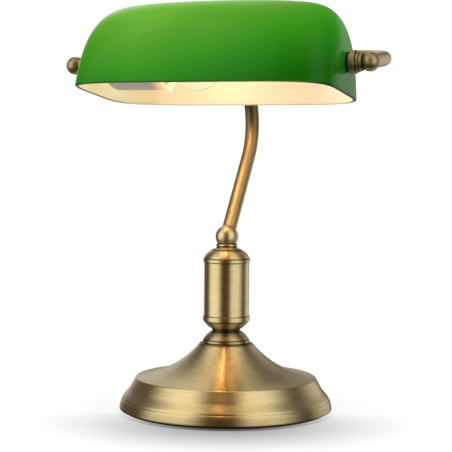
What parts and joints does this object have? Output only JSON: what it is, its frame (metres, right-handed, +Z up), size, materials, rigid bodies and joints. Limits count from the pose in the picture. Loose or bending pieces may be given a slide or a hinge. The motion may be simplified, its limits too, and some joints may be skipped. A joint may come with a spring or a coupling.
{
  "type": "banker desk lamp",
  "caption": "Desk lamp with a weighted round base, turned column, cranked swivelling stem and a long tilting glass shade held by its ends in a yoke.",
  "frame": {"origin": "centre of the base's underside, on the surface that the lamp stands on", "axes": "+Z up, +X along the shade towards the user's right, -Y towards the user"},
  "size_m": [0.2778, 0.1825, 0.345],
  "materials": {
    "brass": "antique brass, circumferential fine brushing under clear lacquer",
    "foam": "closed-cell foam",
    "iron": "rough casting",
    "steel": "zinc plated",
    "rubber": "matt",
    "black_plastic": "moulded",
    "cased_glass": "glossy green outer casing over opal white",
    "grey_plastic": "moulded, fine texture",
    "ceramic": "unglazed",
    "contact_brass": "bright stamped",
    "clear_glass": "clear",
    "nickel": "rolled",
    "black_glass": "vitrite insulator",
    "tungsten": "glowing coil"
  },
  "bodies": {
    "base": {"base_pad": "foam", "base_weight": "iron", "rod_nuts": "steel", "rod_washers": "steel", "center_rod": "steel", "base_shell": "brass", "cord_bushing": "black_plastic", "foot_flange": "brass", "waist_ring": "brass", "column_cup": "brass", "column_tube": "brass", "column_cap": "brass", "neck_flare": "brass", "neck_bead": "brass"},
    "stem": {"stem_ball": "brass", "swivel_screw": "steel", "stem_tube": "brass", "top_coupling": "brass", "set_screws": "steel", "yoke_arm_left": "brass", "yoke_arm_right": "brass", "end_ball_left": "brass", "end_ball_right": "brass", "nipple_left": "steel", "nipple_right": "steel", "collar_cup_left": "brass", "collar_cup_right": "brass", "lock_nut_left": "steel", "lock_nut_right": "steel", "holder_cap": "grey_plastic", "holder_skirt": "grey_plastic", "holder_insert": "ceramic", "screw_shell": "contact_brass", "centre_contact": "contact_brass"},
    "left_clamp": {"clamp_nut_left": "brass"},
    "right_clamp": {"clamp_nut_right": "brass"},
    "shade": {"shade_glass": "cased_glass", "pivot_bush_left": "rubber", "pivot_bush_right": "rubber", "inner_washer_left": "rubber", "inner_washer_right": "rubber"},
    "bulb": {"bulb_glass": "clear_glass", "bulb_cap": "nickel", "bulb_insulator": "black_glass", "bulb_contact": "nickel", "filament_mount": "clear_glass", "filament": "tungsten"}
  },
  "joints": [
    {"name": "stem_swivel", "type": "hinge", "parent": "base", "child": "stem", "pos_m": [0, 0, 0.143], "axis": [0, 0, 1], "range_deg": [-145, 145]},
    {"name": "shade_tilt", "type": "hinge", "parent": "stem", "child": "shade", "pos_m": [0, -0.0265, 0.2939], "axis": [1, 0, 0], "range_deg": [-60, 60]},
    {"name": "left_clamp_turn", "type": "hinge", "parent": "stem", "child": "left_clamp", "pos_m": [-0.123, -0.0265, 0.2939], "axis": [-1, 0, 0], "range_deg": [-90, 360]},
    {"name": "right_clamp_turn", "type": "hinge", "parent": "stem", "child": "right_clamp", "pos_m": [0.123, -0.0265, 0.2939], "axis": [1, 0, 0], "range_deg": [-90, 360]},
    {"name": "bulb_turn", "type": "hinge", "parent": "stem", "child": "bulb", "pos_m": [-0.06, -0.0265, 0.2939], "axis": [1, 0, 0], "continuous": true}
  ]
}
